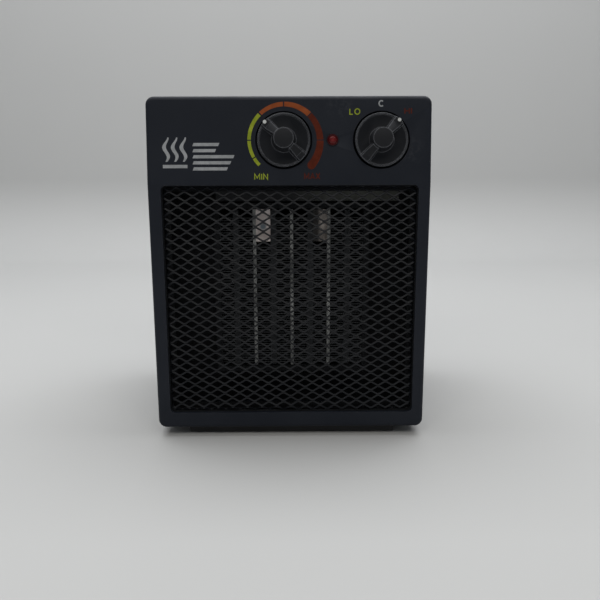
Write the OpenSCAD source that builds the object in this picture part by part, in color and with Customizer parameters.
// Small ceramic fan heater, in millimetres.
// X is to the right, Y to the back and Z up. The origin is on the floor, under the middle of the heater.
// Every piece is drawn in the case's own frame, which case_frame() puts in place: there Y is measured
// back from the upright grille face, and Z up from the bottom edge of the case.

/* [Case] */
// Width of the case
case_w = 172; // [166:1:180]
// Depth from the grille face to the rear cover's outer face
case_d = 146; // [144:1:156]
// Height of the upright grille face
face_h = 156.5; // [156.5:0.5:160]
// Length of the leaning control panel
panel_len = 51.8; // [50:0.2:56]
// Angle that the control panel leans back by
panel_tilt = 6.1; // [4.1:0.2:9.1]
// Wall thickness of the case mouldings
wall = 2.2; // [2:0.1:2.4]
// Corner radius of the case, seen from the front
corner_r = 5; // [4:0.5:7]
// Height of the case above the floor
foot_h = 6; // [5.5:0.5:8]
// Width of the plinth under the case
plinth_w = 134; // [120:1:150]

/* [Grille] */
// Width of the grille opening
opening_w = 156.5; // [150:0.5:158]
// Height of the grille opening
opening_h = 145.2; // [140:0.5:145.5]
// Width of the frame below the grille opening
sill = 10.3; // [9.5:0.1:10.5]
// Long way of one diamond in the grille sheet
diamond_w = 15.1; // [12:0.1:20]
// Short way of one diamond in the grille sheet
diamond_h = 9.3; // [8:0.1:14]
// Width of the strands between the diamonds
strand = 1.6; // [1.2:0.1:2.2]

/* [Controls] */
// Radius of both knobs
knob_r = 16; // [14:0.5:16.5]
// Place of the thermostat knob across the panel
thermostat_x = -3.1; // [-8.1:0.2:0]
// Place of the mode knob across the panel
mode_x = 55.6; // [54:0.2:60]
// Place of both knobs up the panel, from its lower edge
knob_s = 25.8; // [24:0.1:28]
// Place of the indicator lamp across the panel
lamp_x = 26.2; // [25:0.2:28]
// Angle of the thermostat knob's pointer, left from straight up
thermostat_angle = 47.6; // [-130:0.2:134]
// Angle of the mode knob's pointer, left from straight up
mode_angle = -42.3; // [-42.3:0.1:42.3]

/* [Heating core] */
// Width inside the core's frame
core_w = 93.8; // [93:0.2:96]
// Height inside the core's frame
core_h = 106; // [96:1:107]
// Height of the core's lower inside edge
core_z = 34; // [32:1:36]
// Distance between two electrode strips
strip_pitch = 24.3; // [24:0.1:25]
// Pitch of the cooling fins
fin_pitch = 1.6; // [1.5:0.1:4]

/* [Fan] */
// Radius of the fan's blades
fan_r = 57; // [50:1:58]
// Number of blades
blades = 5; // [3:1:7]
// Angle of the blades to the fan's disc
blade_pitch = 24; // [18:1:26]
// Radius of the motor's shaft
motor_shaft_r = 3; // [2.5:0.1:3.2]

/* [Hidden] */
$fn = 64;

// Overall sizes
gland_reach = 6;
case_h = face_h + panel_len * cos(panel_tilt);
gap = 0.3;
run_fit = 0.05;

// Case joints: the bezel slides over a lip of the shell, and the cover closes on its thick rim
bezel_d = 22;
cover_d = wall + gap;
lip_out = wall + gap;
lip_in = lip_out + 1.5;
lip_d = 5;
shell_y0 = bezel_d + gap;
shell_y1 = case_d - cover_d;

// Air intake slots in the rear cover
slot_w = 38;
slot_h = 4.2;
slot_pitch_x = 42;
slot_pitch_z = 8.4;
slot_z0 = 34;
slot_rows = 14;

// Pleated dust filter behind the slots
filter_w = 132;
filter_h = 122;
filter_z0 = 30;
filter_t = 0.8;
pleats = 22;
pleat_d = 4;

// Corner screws of the rear cover
screw_x = case_w / 2 - 7.5;
screw_z = [13, case_h - 12];
screw_r = 1.8;
boss_r = 5.5;
boss_len = 30;
screw_len = 28;
screw_head_r = 3.7;
screw_head_h = 2;

// Plinth and feet
plinth_x = 0.2;
plinth_y0 = 6;
plinth_y1 = case_d - 8;
plinth_h = foot_h - 0.7;
plinth_rim = 4;
pocket_h = 2.4;
foot_r = 7;
foot_inset = 13;

// Grille sheet, behind the front wall
grille_x = 0.4;
opening_r = 3;
sheet_w = opening_w - 1.5;
sheet_h = opening_h - 1.6;
sheet_z = sill + opening_h / 2;
sheet_y = wall + 0.4;
sheet_t = 1.2;
flange_d = 6.4;

// Control panel: depths are measured outwards from its face, so those behind it are negative
knob_gap = 1.2;
well_r = knob_r + knob_gap;
well_depth = 6.5;
well_floor = 1.5;
rim_h = 1.8;
dial_h = 1.3;
hub_h = 9.8;
hub_r = 7.3;
hub_top_r = 5.9;
grip_h = 7.4;
grip_end_h = 2.9;
grip_end_len = 3.4;
grip_w = 5.2;
grip_end_w = 7.2;
grip_top_w = 3.9;
grip_end_top_w = 5.2;
grip_inset = 0.1;
knob_under = -0.6;
socket_r = 5;
socket_h = 3;
shaft_r = 3;
shaft_tip = 4;
bush_r = 4;
bush_top = -well_depth + 1.6;
nut_h = 1.5;
nut_r = 6.4;
switch_top = -well_depth - 1.7;
pointer_r = 1.05;
pointer_at = knob_r - 0.7;

// The knobs reach ahead of the grille face, and the gland behind the cover, so the middle lies between
knob_reach = hub_h * cos(panel_tilt) - knob_s * sin(panel_tilt);
face_y = -(case_d + gland_reach - knob_reach) / 2;

// Indicator lamp
lamp_hole_r = 3;
lens_r = 3.4;
lens_dome_r = 2.5;
lens_stem = 7;
neon_r = 1.9;

// Heating core, behind the grille
core_x = 1.1;
core_y = 27;
core_d = 17;
core_rim = 3.6;
strip_t = 2;
fin_t = 0.4;
bar_t = 3.4;
cell_clear = 0.05;
block_h = 20.8;
baffle_t = 1.2;
inner_w = case_w - 2 * wall;
baffle_y = core_y + core_d + 0.8;
baffle_w = inner_w - 0.2;
baffle_z0 = wall + 0.1;
baffle_z1 = face_h - 0.3;
shield_z = face_h + 2;
shield_t = 1;
shield_y0 = 28;
shield_y1 = 125;
shield_lip = 13.9;
shield_lip_x = 11.5;
shield_lip_w = 119;
rail = 3;
rail_t = 1.5;
rail_z0 = 20;
rail_len = 116;

// Fan and motor, all on one axis along Y
fan_z = 84;
shroud_y = 60;
shroud_t = 2;
ring_t = 2;
ring_y1 = 84;
ring_r = fan_r + 3;
hub_fan_r = 18;
impeller_y0 = 65;
impeller_d = 17;
blade_t = 2;
blade_root = 18;
blade_tip = 34;
stator_y = 92;
stator_d = 20;
stator_w = 60;
rotor_r = 15;
stator_top = 24;
leg_z0 = -46;
leg_z1 = -34;
window_h = 12;
coil_w = 34;
coil_t = 5.5;
bracket_t = 2;
bolt_x = 24.5;
bolt_r = 1.9;
arm_x = ring_r + 8;

// Cord gland
gland_x = 60;
gland_z = 20;
gland_bore_r = 3.6;
gland_neck_r = 5.8;

// Tip-over switch
tip_x = -46;
tip_y = 112;
tip_rod_r = 2.5;
tip_collar_r = 4;
tip_collar_z = 8.6;
tip_chamber_top = 16;
spring_r = 3.3;
spring_wire_r = 0.4;
spring_turns = 4;

// ---- Frames and simple shapes ----

module case_frame() {
    translate([0, face_y, foot_h]) children();
}

// A flat outline given in (x, z), as a plate from y0 back to y0 + d
module plate_y(y0, d) {
    translate([0, y0 + d, 0]) rotate([90, 0, 0]) linear_extrude(d) children();
}

// A flat outline given in (y, z), as wide as w and centred on x = 0
module plate_x(w) {
    translate([-w / 2, 0, 0]) rotate([90, 0, 90]) linear_extrude(w) children();
}

// A round bar along Y
module rod_y(x, z, y0, d, r) {
    translate([x, y0 + d, z]) rotate([90, 0, 0]) cylinder(h = d, r = r);
}

// The frame on the control panel: x across, y up the panel, z outwards
module on_panel(x, s) {
    translate([x, s * sin(panel_tilt), face_h + s * cos(panel_tilt)])
        rotate([90 - panel_tilt, 0, 0]) children();
}

// A rectangle centred on x = 0, from z0 up to z1, with round corners
module round_rect(w, z0, z1, r) {
    translate([-w / 2 + r, z0]) square([w - 2 * r, z1 - z0]);
    translate([-w / 2, z0 + r]) square([w, z1 - z0 - 2 * r]);
    for (x = [-w / 2 + r, w / 2 - r], z = [z0 + r, z1 - r])
        translate([x, z]) circle(r = r);
}

// The case seen from the front, drawn in by an inset
module case_outline(inset) {
    round_rect(case_w - 2 * inset, inset, case_h - inset, max(corner_r - inset, 1));
}

module case_ring(inset_out, inset_in) {
    difference() {
        case_outline(inset_out);
        case_outline(inset_in);
    }
}

// A block centred in x and y, from z0 upwards
module block(x, y, z0, w, d, h) {
    translate([x - w / 2, y - d / 2, z0]) cube([w, d, h]);
}

// ---- Case ----

// How far back the panel's surface is at a height, an inset behind its face
function panel_y(inset, z) = inset / cos(panel_tilt) + (z - face_h) * tan(panel_tilt);

// The bezel's outside, or its inside when given an inset
module bezel_block(inset, back) {
    knee = face_h + (inset - inset / cos(panel_tilt)) / tan(panel_tilt);
    top = case_h - inset;
    intersection() {
        plate_x(case_w)
            polygon([
                [inset, inset],
                [back, inset],
                [back, top],
                [panel_y(inset, top), top],
                [inset, knee]
            ]);
        plate_y(-1, back + 2) case_outline(inset);
    }
}

module front_bezel() {
    case_frame() color("#222429") difference() {
        union() {
            difference() {
                bezel_block(0, bezel_d);
                bezel_block(wall, bezel_d + 1);
            }
            for (x = [thermostat_x, mode_x])
                on_panel(x, knob_s)
                    translate([0, 0, -well_depth - well_floor])
                        cylinder(h = well_depth, r = well_r + well_floor);
        }
        translate([grille_x, 0, 0])
            plate_y(-1, wall + 2) round_rect(opening_w, sill, sill + opening_h, opening_r);
        for (x = [thermostat_x, mode_x])
            on_panel(x, knob_s) {
                translate([0, 0, -well_depth]) cylinder(h = well_depth + 2, r = well_r);
                translate([0, 0, -well_depth - 3]) cylinder(h = 5, r = bush_r + gap);
            }
        on_panel(lamp_x, knob_s)
            translate([0, 0, -wall - 2]) cylinder(h = wall + 4, r = lamp_hole_r);
    }
}

// Ribs on the shell's side walls that hold an upright plate between them
module side_rails(y0, t) {
    for (side = [-1, 1], y = [y0 - rail_t - 0.1, y0 + t + 0.1])
        translate([side * (inner_w / 2 - rail / 2 + 0.1), y + rail_t / 2, rail_z0 + rail_len / 2])
            cube([rail + 0.2, rail_t, rail_len], center = true);
}

module housing_shell() {
    case_frame() color("#24262b") difference() {
        union() {
            plate_y(shell_y0, shell_y1 - shell_y0) case_ring(0, wall);
            // Lip that the bezel slides over
            plate_y(shell_y0 - lip_d, lip_d + 0.1) case_ring(lip_out, lip_in);
            plate_y(shell_y0, lip_d) case_ring(wall - 0.2, lip_in);
            // Thick rim that the rear cover closes on
            plate_y(shell_y1 - lip_d, lip_d) case_ring(wall - 0.2, lip_in);
            side_rails(baffle_y, baffle_t);
            side_rails(shroud_y, shroud_t);
            // Ledges that carry the heat shield
            for (side = [-1, 1])
                translate([side * (inner_w / 2 - rail / 2 + 0.1), (shield_y0 + shield_y1) / 2,
                           shield_z - rail_t / 2])
                    cube([rail + 0.2, shield_y1 - shield_y0, rail_t], center = true);
            for (side = [-1, 1], z = screw_z)
                rod_y(side * screw_x, z, shell_y1 - boss_len, boss_len - 0.4, boss_r);
        }
        for (side = [-1, 1], z = screw_z)
            rod_y(side * screw_x, z, shell_y1 - boss_len + 2, boss_len, screw_r + run_fit);
        translate([tip_x, tip_y, -1]) cylinder(h = wall + 2, r = tip_rod_r + 0.7);
    }
}

module rear_cover() {
    inside_y = case_d - wall;
    case_frame() color("#222429") difference() {
        plate_y(inside_y, wall) case_outline(0);
        for (side = [-1, 1], z = screw_z)
            rod_y(side * screw_x, z, inside_y - 1, wall + 2, screw_r + 0.3);
        rod_y(gland_x, gland_z, inside_y - 1, wall + 2, gland_neck_r + 0.2);
        // Air intake: columns of level slots
        for (col = [-1, 0, 1], row = [0 : slot_rows - 1])
            block(col * slot_pitch_x, case_d - 1, slot_z0 + row * slot_pitch_z,
                  slot_w, wall * 4, slot_h);
    }
}

module intake_filter() {
    ridge = case_d - wall;
    folds = [for (i = [0 : 2 * pleats])
        [(i / pleats - 1) * filter_w / 2, i % 2 == 0 ? ridge : ridge - pleat_d]];
    back_to_front = [for (i = [2 * pleats : -1 : 0]) folds[i] - [0, filter_t]];
    case_frame() color("#1b1c1e")
        translate([0, 0, filter_z0]) linear_extrude(filter_h)
            polygon(concat(folds, back_to_front));
}

// The dark plinth that the case stands on, hollow below for the feet
module base_plinth() {
    d = plinth_y1 - plinth_y0;
    y_mid = (plinth_y0 + plinth_y1) / 2;
    case_frame() color("#141518") difference() {
        block(plinth_x, y_mid, -plinth_h, plinth_w, d, plinth_h);
        block(plinth_x, y_mid, -plinth_h - 1, plinth_w - 2 * plinth_rim, d - 2 * plinth_rim,
              plinth_h + 1 - pocket_h);
        translate([tip_x, tip_y, -plinth_h - 1]) cylinder(h = foot_h + 2, r = tip_rod_r + 0.7);
    }
}

module foot(side, back) {
    x = plinth_x + side * (plinth_w / 2 - foot_inset);
    y = back ? plinth_y1 - foot_inset : plinth_y0 + foot_inset;
    case_frame() color("#0c0c0d")
        translate([x, y, -foot_h]) {
            cylinder(h = foot_h - pocket_h, r = foot_r - 0.6);
            translate([0, 0, 0.6]) cylinder(h = foot_h - pocket_h - 0.6, r = foot_r);
        }
}

module foot_front_left() { foot(-1, false); }
module foot_front_right() { foot(1, false); }
module foot_rear_left() { foot(-1, true); }
module foot_rear_right() { foot(1, true); }

module case_screws() {
    case_frame() color("#b8bbc0")
        for (side = [-1, 1], z = screw_z) {
            rod_y(side * screw_x, z, case_d - screw_len, screw_len + 0.5, screw_r);
            rod_y(side * screw_x, z, case_d, screw_head_h, screw_head_r);
        }
}

// ---- Grille ----

// One diamond hole, shrunk by the strands round it
module diamond() {
    a = diamond_w / 2;
    b = diamond_h / 2;
    k = 1 - strand / 2 * sqrt(a * a + b * b) / (a * b);
    polygon([[-a * k, 0], [0, -b * k], [a * k, 0], [0, b * k]]);
}

module diamond_grid(cols, rows) {
    for (i = [0 : cols - 1], j = [0 : rows - 1])
        translate([(i - (cols - 1) / 2) * diamond_w, (j - (rows - 1) / 2) * diamond_h]) diamond();
}

module sheet_outline(inset) {
    round_rect(sheet_w - 2 * inset, sheet_z - sheet_h / 2 + inset, sheet_z + sheet_h / 2 - inset,
               opening_r - inset / 2);
}

// Expanded sheet with its edges bent back
module front_grille() {
    cols = floor((sheet_w - 2 * strand) / diamond_w);
    rows = floor((sheet_h - 2 * strand) / diamond_h);
    case_frame() color("#2a2c30") translate([grille_x, 0, 0]) {
        plate_y(sheet_y, sheet_t) difference() {
            sheet_outline(0);
            translate([0, sheet_z]) diamond_grid(cols, rows);
            translate([0, sheet_z]) diamond_grid(cols - 1, rows - 1);
        }
        plate_y(sheet_y + sheet_t, flange_d - sheet_t) difference() {
            sheet_outline(0);
            sheet_outline(sheet_t);
        }
    }
}

// Frame that holds the sheet against the back of the bezel
module grille_retainer() {
    z_top = face_h - 0.5;
    back = sheet_y + flange_d + 0.2;
    case_frame() color("#101113") {
        plate_y(wall + 0.1, 2) difference() {
            round_rect(inner_w - 2, wall + 0.8, z_top, 3);
            translate([grille_x, 0]) sheet_outline(-0.3);
        }
        translate([grille_x, 0, 0]) {
            plate_y(wall + 2, back - wall - 2) difference() {
                sheet_outline(-1);
                sheet_outline(-0.3);
            }
            plate_y(back, 1.2) difference() {
                sheet_outline(-1);
                sheet_outline(3);
            }
        }
    }
}

// ---- Controls ----

// The grip bar seen from its side: a roof that falls from the hub to a flat land at each end
module grip_roof() {
    land = knob_r - grip_end_len;
    polygon([
        [-knob_r - 1, 0.5], [knob_r + 1, 0.5], [knob_r + 1, grip_end_h], [land, grip_end_h],
        [hub_top_r + 0.8, grip_h], [-hub_top_r - 0.8, grip_h], [-land, grip_end_h],
        [-knob_r - 1, grip_end_h]
    ]);
}

// The grip bar cut across: its sides lean in towards the top
module grip_section() {
    polygon([
        [-grip_end_w / 2, 0.5], [grip_end_w / 2, 0.5], [grip_end_w / 2, dial_h],
        [grip_end_top_w / 2, grip_end_h], [grip_top_w / 2, grip_h], [-grip_top_w / 2, grip_h],
        [-grip_end_top_w / 2, grip_end_h], [-grip_end_w / 2, dial_h]
    ]);
}

// The grip bar seen from above: two ends that flare from the hub to the rim
module grip_plan() {
    for (end = [-1, 1])
        polygon([
            [-grip_w / 2, 0], [grip_w / 2, 0], [grip_w / 2, end * hub_top_r],
            [grip_end_w / 2, end * (knob_r + 1)], [-grip_end_w / 2, end * (knob_r + 1)],
            [-grip_w / 2, end * hub_top_r]
        ]);
}

// Round knob with a raised rim, a flat face, a hub and a grip bar right across
module knob(x, angle) {
    case_frame() on_panel(x, knob_s) color("#1d1e22") rotate([0, 0, angle]) {
        rotate_extrude($fn = 96)
            polygon([
                [0, hub_h], [hub_top_r, hub_h], [hub_r, dial_h], [knob_r - 1.2, dial_h],
                [knob_r - 0.9, rim_h], [knob_r - 0.4, rim_h], [knob_r, rim_h - 0.4],
                [knob_r, gap - well_depth], [knob_r - 1.6, gap - well_depth],
                [knob_r - 1.6, knob_under], [socket_r, knob_under],
                [socket_r, knob_under - socket_h], [shaft_r + 0.02, knob_under - socket_h],
                [shaft_r + 0.02, shaft_tip + 0.05], [0, shaft_tip + 0.05]
            ]);
        intersection() {
            linear_extrude(grip_h + 1) grip_plan();
            rotate([0, 0, 90]) rotate([90, 0, 0])
                linear_extrude(grip_end_w + 2, center = true) grip_roof();
            rotate([90, 0, 0]) linear_extrude(2 * knob_r + 4, center = true) grip_section();
            difference() {
                cylinder(h = grip_h + 1, r = knob_r - grip_inset, $fn = 96);
                translate([0, 0, -1]) cylinder(h = grip_h + 3, r = shaft_r + 1);
            }
        }
        translate([0, pointer_at, dial_h - 0.5]) cylinder(h = grip_end_h - dial_h + 0.5, r = pointer_r + 0.2);
    }
}

// White dot on the flat land at the grip bar's end
module pointer(x, angle) {
    case_frame() on_panel(x, knob_s) color("#d8d8d2")
        rotate([0, 0, angle])
            translate([0, pointer_at, grip_end_h])
                cylinder(h = 0.3, r = pointer_r);
}

module control_shaft(x, bottom) {
    case_frame() on_panel(x, knob_s) color("#c9a94f")
        translate([0, 0, bottom]) cylinder(h = shaft_tip - bottom, r = shaft_r);
}

// Square body behind the panel, with a bush that comes through the well's floor
module control_body(x, size, depth, bore, colour) {
    case_frame() on_panel(x, knob_s) color(colour) difference() {
        union() {
            translate([0, 0, switch_top - depth / 2]) cube([size, size, depth], center = true);
            translate([0, 0, switch_top - 1]) cylinder(h = bush_top - switch_top + 1, r = bush_r);
        }
        translate([0, 0, switch_top - bore])
            cylinder(h = bush_top - switch_top + bore + 1, r = shaft_r + run_fit);
    }
}

// The nuts that hold both controls in their wells
module control_nuts() {
    for (x = [thermostat_x, mode_x])
        case_frame() on_panel(x, knob_s) color("#a9a9a4") difference() {
            translate([0, 0, -well_depth]) cylinder(h = nut_h, r = nut_r, $fn = 6);
            translate([0, 0, -well_depth - 1]) cylinder(h = nut_h + 2, r = bush_r + 0.03);
        }
}

module thermostat_knob() { knob(thermostat_x, thermostat_angle); }
module thermostat_pointer() { pointer(thermostat_x, thermostat_angle); }
module thermostat_shaft() { control_shaft(thermostat_x, switch_top - 10); }
module thermostat_body() { control_body(thermostat_x, 27, 12, 10.2, "#5a3a28"); }

// Bimetal blade on a post behind the thermostat
module thermostat_bimetal() {
    case_frame() on_panel(thermostat_x, knob_s) color("#b5884a")
        translate([0, 0, switch_top - 12]) {
            translate([0, 9, -1.5]) cube([6, 5, 3], center = true);
            translate([0, -3, -3.4]) cube([7, 30, 0.8], center = true);
        }
}

module mode_knob() { knob(mode_x, mode_angle); }
module mode_pointer() { pointer(mode_x, mode_angle); }
module mode_shaft() { control_shaft(mode_x, switch_top - 12); }
module mode_switch_body() { control_body(mode_x, 26, 16, 12.2, "#d9d5c8"); }

module mode_switch_terminals() {
    case_frame() on_panel(mode_x, knob_s) color("#c8c8c4")
        for (x = [-8, 8], s = [-7, 7])
            translate([x, s, switch_top - 16 - 4]) cube([0.8, 6.3, 8], center = true);
}

module indicator_lens() {
    case_frame() on_panel(lamp_x, knob_s) color("#7a1512") difference() {
        rotate_extrude()
            polygon(concat(
                [[0, -lens_stem], [lamp_hole_r - 0.1, -lens_stem], [lamp_hole_r - 0.1, 0], [lens_r, 0],
                 [lens_r, 0.8], [lens_r - 0.5, 1.1], [lens_dome_r, 0.9]],
                [for (a = [15 : 15 : 90]) [lens_dome_r * cos(a), 0.9 + 1.1 * sin(a)]]
            ));
        translate([0, 0, -lens_stem - 1]) cylinder(h = lens_stem + 0.5, r = neon_r + 0.2);
    }
}

module neon_lamp() {
    case_frame() on_panel(lamp_x, knob_s) color("#d9c8b8")
        translate([0, 0, -lens_stem - 5]) {
            cylinder(h = lens_stem + 5 - 0.8 - neon_r, r = neon_r);
            translate([0, 0, lens_stem + 5 - 0.8 - neon_r]) sphere(r = neon_r);
        }
}

module lamp_retainer() {
    case_frame() on_panel(lamp_x, knob_s) color("#8f9296") difference() {
        translate([0, 0, -wall - 1]) cylinder(h = 0.9, r = lens_r + 2);
        translate([0, 0, -wall - 2]) cylinder(h = 3, r = lamp_hole_r - 0.05);
    }
}

// ---- Heating core ----

function bar_x(i) = core_x + (i - 2.5) * strip_pitch;
function strip_x(i) = core_x + (i - 2) * strip_pitch;

// Left and right sides of fin block i: blocks 1 and 2 are each side of bar 1, and so on
function fin_left(i) =
    let (bar = ceil(i / 2))
    i == 1 ? core_x - core_w / 2 + cell_clear :
    i % 2 == 1 ? strip_x(bar - 1) + strip_t / 2 + cell_clear :
    bar_x(bar) + bar_t / 2 + cell_clear;
function fin_right(i) =
    let (bar = ceil(i / 2))
    i == 8 ? core_x + core_w / 2 - cell_clear :
    i % 2 == 0 ? strip_x(bar) - strip_t / 2 - cell_clear :
    bar_x(bar) - bar_t / 2 - cell_clear;

module core_bar(x, w, z0, z1, y0, d) {
    translate([x - w / 2, y0, z0]) cube([w, d, z1 - z0]);
}

module ptc_bar(i) {
    case_frame() color("#56504a")
        core_bar(bar_x(i), bar_t, core_z + 1, core_z + core_h - 1, core_y, core_d);
}

module electrode_strip(i) {
    case_frame() color("#c4c8cc")
        core_bar(strip_x(i), strip_t, core_z + 0.5, core_z + core_h - 0.5, core_y - 0.5, core_d);
}

// Folded aluminium ribbon, seen from the front as level fins joined at alternate ends
module fin_block(i) {
    w = fin_right(i) - fin_left(i);
    z0 = core_z + 2;
    z1 = (i == 3 || i == 6) ? core_z + core_h - block_h - 0.8 : core_z + core_h - 2;
    pairs = floor((z1 - z0) / (2 * fin_pitch));
    case_frame() color("#8d9094")
        translate([fin_left(i), 0, z0]) plate_y(core_y + 0.5, core_d - 1)
            polygon(concat(
                [for (j = [0 : pairs - 1], k = [0 : (j < pairs - 1 ? 3 : 1)])
                    [k < 2 ? w : fin_t,
                     (2 * j + (k == 0 ? 0 : k == 3 ? 2 : 1)) * fin_pitch + (k == 1 || k == 2 ? fin_t : 0)]],
                [for (j = [pairs - 1 : -1 : 0], k = [(j == pairs - 1 ? 0 : 1) : 4])
                    [k == 2 || k == 3 ? w - fin_t : 0,
                     (2 * j + (k < 3 ? 1 : 0)) * fin_pitch + (k == 0 || k > 2 ? fin_t : 0)]],
                [[0, 0]]
            ));
}

module ptc_bar_1() { ptc_bar(1); }
module ptc_bar_2() { ptc_bar(2); }
module ptc_bar_3() { ptc_bar(3); }
module ptc_bar_4() { ptc_bar(4); }
module electrode_strip_1() { electrode_strip(1); }
module electrode_strip_2() { electrode_strip(2); }
module electrode_strip_3() { electrode_strip(3); }
module fin_block_1() { fin_block(1); }
module fin_block_2() { fin_block(2); }
module fin_block_3() { fin_block(3); }
module fin_block_4() { fin_block(4); }
module fin_block_5() { fin_block(5); }
module fin_block_6() { fin_block(6); }
module fin_block_7() { fin_block(7); }
module fin_block_8() { fin_block(8); }

// White ceramic block that fills the top of a fin column
module terminal_block(i) {
    top = core_z + core_h - 0.6;
    case_frame() color("#e6ddd4")
        core_bar((fin_left(i) + fin_right(i)) / 2, fin_right(i) - fin_left(i),
                 top - block_h, top, core_y - 1, core_d);
}

module terminal_block_left() { terminal_block(3); }
module terminal_block_right() { terminal_block(6); }

// Frame round the core, with the plate that makes all the air go through it
module core_frame() {
    case_frame() color("#17181a") translate([core_x, 0, 0]) {
        plate_y(core_y - 2, baffle_y - core_y + 2.1) difference() {
            round_rect(core_w + 2 * core_rim, core_z - core_rim, core_z + core_h + core_rim, 1.5);
            translate([-core_w / 2, core_z]) square([core_w, core_h]);
        }
        plate_y(baffle_y, baffle_t) difference() {
            translate([-core_x, 0]) round_rect(baffle_w, baffle_z0, baffle_z1, 3);
            translate([-core_w / 2 + 1, core_z + 1]) square([core_w - 2, core_h - 2]);
        }
    }
}

// Shelf that keeps the heat from the controls, with its front edge bent down
module heat_shield() {
    y_mid = (shield_y0 + shield_y1) / 2;
    case_frame() color("#8b8f93") {
        block(0, y_mid, shield_z, baffle_w, shield_y1 - shield_y0, shield_t);
        block(shield_lip_x, shield_y0 + shield_t / 2, shield_z - shield_lip,
              shield_lip_w, shield_t, shield_lip + 0.1);
    }
}

module thermal_cutout() {
    y0 = baffle_y + baffle_t;
    case_frame() color("#2a1f18") translate([-66, 0, 0]) {
        rod_y(0, 120, y0, 4, 8);
        rod_y(0, 120, y0 + 3.9, 3, 6.2);
        for (x = [-3.5, 3.5])
            block(x, y0 + 9, 117, 0.8, 5, 6);
    }
}

module thermal_fuse() {
    case_frame() color("#b9a06a")
        translate([4, baffle_y + baffle_t + 2.1, core_z + core_h + 9]) rotate([0, 90, 0]) {
            translate([0, 0, 4]) cylinder(h = 12, r = 2);
            cylinder(h = 20, r = 0.5);
        }
}

// ---- Fan and motor ----

module fan_shroud() {
    case_frame() color("#1a1b1e") difference() {
        union() {
            plate_y(shroud_y, shroud_t) round_rect(baffle_w, baffle_z0, baffle_z1, 3);
            rod_y(0, fan_z, shroud_y, ring_y1 - shroud_y, ring_r + ring_t);
            for (side = [-1, 1])
                rod_y(side * arm_x, fan_z, shroud_y, ring_y1 - shroud_y, 4.5);
        }
        rod_y(0, fan_z, shroud_y - 1, ring_y1 - shroud_y + 2, ring_r);
        for (side = [-1, 1])
            rod_y(side * arm_x, fan_z, shroud_y + 3, ring_y1 - shroud_y, 1.6);
    }
}

module fan_impeller() {
    blade_y = impeller_y0 + impeller_d / 2;
    case_frame() color("#2b2d31") difference() {
        union() {
            rod_y(0, fan_z, impeller_y0, impeller_d, hub_fan_r);
            intersection() {
                for (i = [0 : blades - 1])
                    translate([0, blade_y, fan_z]) rotate([0, i * 360 / blades, 0])
                        rotate([blade_pitch, 0, 0]) rotate([90, 0, 0])
                            linear_extrude(blade_t, center = true)
                                polygon([
                                    [hub_fan_r - 3, -blade_root / 2], [fan_r + 3, -blade_tip / 2],
                                    [fan_r + 3, blade_tip / 2], [hub_fan_r - 3, blade_root / 2]
                                ]);
                rod_y(0, fan_z, impeller_y0, impeller_d, fan_r);
            }
        }
        rod_y(0, fan_z, impeller_y0 + 3, impeller_d, hub_fan_r - 2);
        rod_y(0, fan_z, impeller_y0 - 1, impeller_d, motor_shaft_r + 0.02);
    }
}

module motor_shaft() {
    case_frame() color("#cfd2d6") rod_y(0, fan_z, impeller_y0 - 2, 60, motor_shaft_r);
}

module motor_rotor() {
    case_frame() color("#6f7276") difference() {
        rod_y(0, fan_z, stator_y, stator_d, rotor_r);
        rod_y(0, fan_z, stator_y - 1, stator_d + 2, motor_shaft_r + 0.02);
    }
}

module motor_stator() {
    case_frame() color("#54575b") plate_y(stator_y, stator_d) difference() {
        translate([0, fan_z]) round_rect(stator_w, leg_z0, stator_top, 3);
        translate([0, fan_z]) circle(r = rotor_r + 0.4);
        translate([-coil_w / 2 - 1, fan_z + leg_z1]) square([coil_w + 2, window_h]);
        for (x = [-bolt_x, bolt_x])
            translate([x, fan_z]) circle(r = bolt_r + 0.2);
    }
}

// Winding round the stator's lower leg
module motor_coil() {
    y0 = stator_y - 0.2;
    y1 = stator_y + stator_d + 0.2;
    case_frame() color("#a5542c") plate_x(coil_w) difference() {
        translate([y0 - coil_t, fan_z + leg_z0 - 0.2 - coil_t])
            square([y1 - y0 + 2 * coil_t, leg_z1 - leg_z0 + 0.4 + 2 * coil_t]);
        translate([y0, fan_z + leg_z0 - 0.2]) square([y1 - y0, leg_z1 - leg_z0 + 0.4]);
    }
}

// Bearing bracket: a bar at bar_y, with a bearing boss and two posts from post_y to the bar's far side
module motor_bracket(bar_y, half_w, boss_y, post_y, post_d, arm_holes) {
    case_frame() color("#9a9da1") difference() {
        union() {
            block(0, bar_y + bracket_t / 2, fan_z - 8, 2 * half_w, bracket_t, 16);
            rod_y(0, fan_z, boss_y, 6, 7);
            for (x = [-bolt_x, bolt_x])
                rod_y(x, fan_z, post_y, post_d, 4);
        }
        rod_y(0, fan_z, boss_y - 10, 30, motor_shaft_r + run_fit);
        for (x = [-bolt_x, bolt_x])
            rod_y(x, fan_z, post_y - 10, post_d + 20, bolt_r + 0.1);
        if (arm_holes)
            for (x = [-arm_x, arm_x])
                rod_y(x, fan_z, bar_y - 1, bracket_t + 2, 1.8);
    }
}

module motor_bracket_front() {
    motor_bracket(ring_y1, arm_x + 4, ring_y1, ring_y1, stator_y - ring_y1, true);
}

module motor_bracket_rear() {
    rear = stator_y + stator_d;
    motor_bracket(rear + 6, stator_w / 2, rear + 3, rear, 8, false);
}

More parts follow.
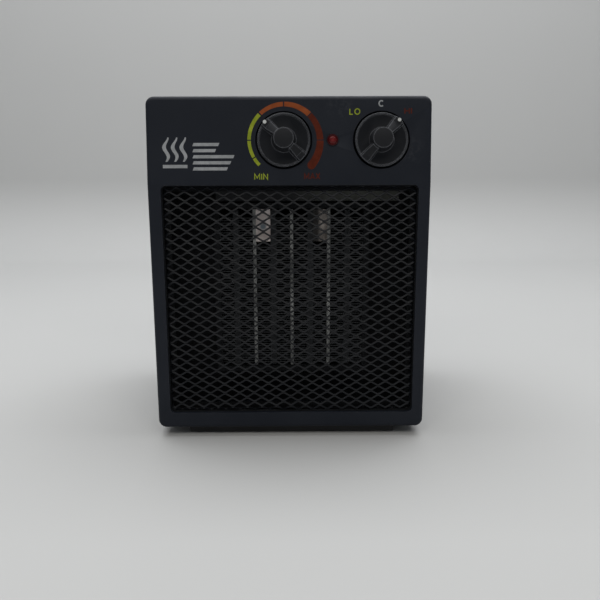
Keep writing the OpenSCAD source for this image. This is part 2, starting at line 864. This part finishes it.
// Two long bolts through the motor, and two screws that hold it to the shroud
module motor_screws() {
    bolt_end = stator_y + stator_d + 8;
    case_frame() color("#c4c7cb") {
        for (x = [-bolt_x, bolt_x]) {
            rod_y(x, fan_z, ring_y1 + 0.3, bolt_end - ring_y1, bolt_r);
            rod_y(x, fan_z, bolt_end, 2.4, 3.4);
        }
        for (x = [-arm_x, arm_x]) {
            rod_y(x, fan_z, ring_y1 - 16, 16 + bracket_t + 0.2, 1.5);
            rod_y(x, fan_z, ring_y1 + bracket_t, 2.2, 3.2);
        }
    }
}

// ---- Cord gland and tip-over switch ----

module cord_gland() {
    inside_y = case_d - wall;
    case_frame() color("#101113") difference() {
        union() {
            rod_y(gland_x, gland_z, inside_y - 3, wall + 3 + gland_reach, gland_neck_r);
            rod_y(gland_x, gland_z, case_d, 2.5, 9);
            rod_y(gland_x, gland_z, inside_y - 2.5, 2.5, 8.5);
        }
        rod_y(gland_x, gland_z, inside_y - 4, wall + 5 + gland_reach, gland_bore_r);
    }
}

module tip_switch_body() {
    case_frame() color("#d6d2c6") difference() {
        block(tip_x, tip_y, wall, 17, 14, 20);
        translate([tip_x, tip_y, 0]) cylinder(h = tip_chamber_top, r = tip_rod_r + run_fit);
        translate([tip_x, tip_y, wall + 1.2])
            cylinder(h = tip_chamber_top - wall - 1.2, r = tip_collar_r + gap);
    }
}

// Plunger that the floor holds up, with a collar for its spring
module tip_plunger() {
    case_frame() color("#c7452f") translate([tip_x, tip_y, -foot_h]) {
        cylinder(h = 1.6, r = 5);
        cylinder(h = foot_h + tip_collar_z + 2, r = tip_rod_r);
        translate([0, 0, foot_h + tip_collar_z]) cylinder(h = 2, r = tip_collar_r);
        cylinder(h = foot_h + tip_chamber_top - 2, r = 1.6);
    }
}

// Coil spring between the plunger's collar and the top of its chamber
module tip_spring() {
    z0 = tip_collar_z + 2 + spring_wire_r;
    rise = tip_chamber_top - spring_wire_r - z0;
    steps = spring_turns * 14;
    sides = 6;
    ring = function (i) let (a = i * 360 / 14, z = z0 + rise * i / steps)
        [for (j = [0 : sides - 1])
            let (b = j * 360 / sides, r = spring_r + spring_wire_r * cos(b))
            [tip_x + r * cos(a), tip_y + r * sin(a), z + spring_wire_r * sin(b)]];
    case_frame() color("#d0d3d6")
        polyhedron(
            points = [for (i = [0 : steps]) each ring(i)],
            faces = concat(
                [[for (j = [0 : sides - 1]) j]],
                [for (i = [0 : steps - 1], j = [0 : sides - 1])
                    let (k = (j + 1) % sides)
                    [i * sides + k, i * sides + j, (i + 1) * sides + j, (i + 1) * sides + k]],
                [[for (j = [sides - 1 : -1 : 0]) steps * sides + j]]
            )
        );
}

// ---- Pieces ----

front_bezel();
housing_shell();
rear_cover();
base_plinth();
foot_front_left();
foot_front_right();
foot_rear_left();
foot_rear_right();
front_grille();
grille_retainer();
thermostat_knob();
thermostat_pointer();
thermostat_shaft();
thermostat_body();
thermostat_bimetal();
mode_knob();
mode_pointer();
mode_shaft();
mode_switch_body();
control_nuts();
mode_switch_terminals();
indicator_lens();
neon_lamp();
lamp_retainer();
ptc_bar_1();
ptc_bar_2();
ptc_bar_3();
ptc_bar_4();
fin_block_1();
fin_block_2();
fin_block_3();
fin_block_4();
fin_block_5();
fin_block_6();
fin_block_7();
fin_block_8();
electrode_strip_1();
electrode_strip_2();
electrode_strip_3();
core_frame();
terminal_block_left();
terminal_block_right();
heat_shield();
thermal_cutout();
thermal_fuse();
fan_shroud();
fan_impeller();
motor_stator();
motor_coil();
motor_rotor();
motor_shaft();
motor_bracket_front();
motor_bracket_rear();
motor_screws();
cord_gland();
tip_switch_body();
tip_plunger();
tip_spring();
case_screws();
intake_filter();
